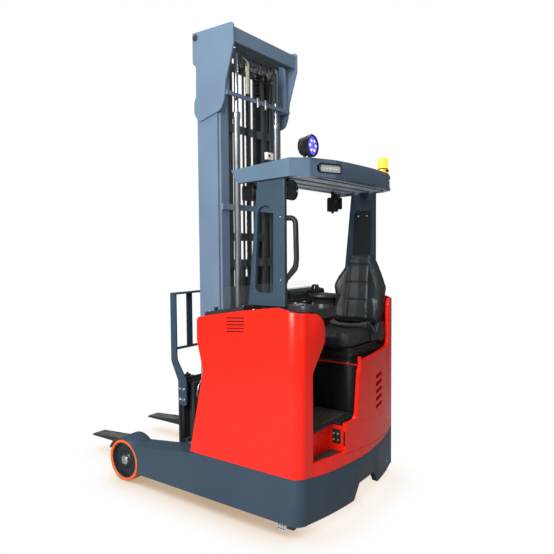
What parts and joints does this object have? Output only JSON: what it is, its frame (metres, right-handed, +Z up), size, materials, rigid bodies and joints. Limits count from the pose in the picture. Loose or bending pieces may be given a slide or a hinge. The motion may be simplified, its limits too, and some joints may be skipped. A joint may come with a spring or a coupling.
{
  "type": "reach truck",
  "caption": "Sit-on reach truck with straddle legs, moving mast carriage, triplex mast, tilting side-shift forks, overhead guard and sideways seat.",
  "frame": {"origin": "on the floor under the middle of the truck's overall length and width, forks lowered and mast retracted", "axes": "+X to the left-hand side of the chassis, -Y towards the fork tips, +Z up"},
  "size_m": [1.366, 2.509, 3.338],
  "materials": {
    "steel_blue": "semi-gloss powder coat",
    "hood_red": "glossy paint",
    "black_plastic": "grained",
    "black_steel": "satin",
    "chrome_rod": "polished",
    "bare_steel": "machined",
    "orange_tyre": "cast polyurethane",
    "black_tyre": "rubber",
    "seat_leather": "grained",
    "bellows_rubber": "matt",
    "clear_screen": "clear polycarbonate",
    "amber_lens": "clear",
    "lamp_black": "moulded",
    "battery_steel": "painted tray"
  },
  "bodies": {
    "root": {"leg_left": "steel_blue", "leg_right": "steel_blue", "rear_skirt": "steel_blue", "chassis_frame": "black_steel", "battery": "battery_steel", "side_panel_left": "hood_red", "side_panel_right": "hood_red", "rear_panel": "hood_red", "footwell": "black_plastic", "seat_base": "black_plastic", "battery_deck": "black_plastic", "mast_screen": "clear_screen", "console": "black_plastic", "dashboard": "black_plastic", "steering_wheel": "black_plastic", "seat_suspension": "bellows_rubber", "seat_cushion": "seat_leather", "seat_backrest": "seat_leather", "overhead_guard": "steel_blue", "pillar_left": "steel_blue", "pillar_right": "steel_blue", "grab_handle": "black_plastic", "work_lamps": "lamp_black", "beacon": "amber_lens"},
    "load_wheel_left": {"load_tyre_left": "orange_tyre", "load_hub_left": "black_steel"},
    "load_wheel_right": {"load_tyre_right": "orange_tyre", "load_hub_right": "black_steel"},
    "drive_wheel": {"drive_tyre": "black_tyre", "drive_hub": "black_steel"},
    "drive_unit": {"drive_unit": "black_steel"},
    "reach_carriage": {"outer_mast": "steel_blue", "reach_carriage": "steel_blue", "lift_cylinders": "black_steel"},
    "middle_mast": {"middle_mast": "steel_blue", "lift_rods": "chrome_rod"},
    "inner_mast": {"inner_mast": "steel_blue", "free_lift_cylinder": "black_steel"},
    "free_lift_rod": {"free_lift_rod": "chrome_rod"},
    "fork_carriage": {"fork_carriage": "black_steel"},
    "fork_tilt": {"tilt_frame": "black_steel"},
    "side_shift": {"shift_carriage": "black_steel", "fork_left": "black_steel", "fork_right": "black_steel", "load_backrest": "steel_blue"}
  },
  "joints": [
    {"name": "load_wheel_left_spin", "type": "hinge", "parent": "root", "child": "load_wheel_left", "pos_m": [0.621, -0.4745, 0.159], "axis": [1, 0, 0], "continuous": true},
    {"name": "load_wheel_right_spin", "type": "hinge", "parent": "root", "child": "load_wheel_right", "pos_m": [-0.621, -0.4745, 0.159], "axis": [1, 0, 0], "continuous": true},
    {"name": "drive_steer", "type": "hinge", "parent": "root", "child": "drive_unit", "pos_m": [-0.04, 0.9555, 0.172], "axis": [0, 0, 1], "range_deg": [-90, 90]},
    {"name": "drive_wheel_spin", "type": "hinge", "parent": "drive_unit", "child": "drive_wheel", "pos_m": [-0.04, 0.9555, 0.172], "axis": [1, 0, 0], "continuous": true},
    {"name": "mast_reach", "type": "slide", "parent": "root", "child": "reach_carriage", "axis": [0, -1, 0], "range_m": [0, 0.56]},
    {"name": "middle_mast_lift", "type": "slide", "parent": "reach_carriage", "child": "middle_mast", "axis": [0, 0, 1], "range_m": [0, 2.45]},
    {"name": "inner_mast_lift", "type": "slide", "parent": "middle_mast", "child": "inner_mast", "axis": [0, 0, 1], "range_m": [0, 2.45]},
    {"name": "carriage_lift", "type": "slide", "parent": "inner_mast", "child": "fork_carriage", "axis": [0, 0, 1], "range_m": [0, 2.45]},
    {"name": "free_lift_rod_slide", "type": "slide", "parent": "inner_mast", "child": "free_lift_rod", "axis": [0, 0, 1], "range_m": [0, 1.225]},
    {"name": "fork_tilt", "type": "hinge", "parent": "fork_carriage", "child": "fork_tilt", "pos_m": [0, -0.0485, 0.262], "axis": [1, 0, 0], "range_deg": [-4, 2]},
    {"name": "fork_side_shift", "type": "slide", "parent": "fork_tilt", "child": "side_shift", "axis": [1, 0, 0], "range_m": [-0.04, 0.04]}
  ],
  "couplings": [
    {"joint": "inner_mast_lift", "follows": "middle_mast_lift", "ratio": 1},
    {"joint": "free_lift_rod_slide", "follows": "carriage_lift", "ratio": 0.5}
  ]
}
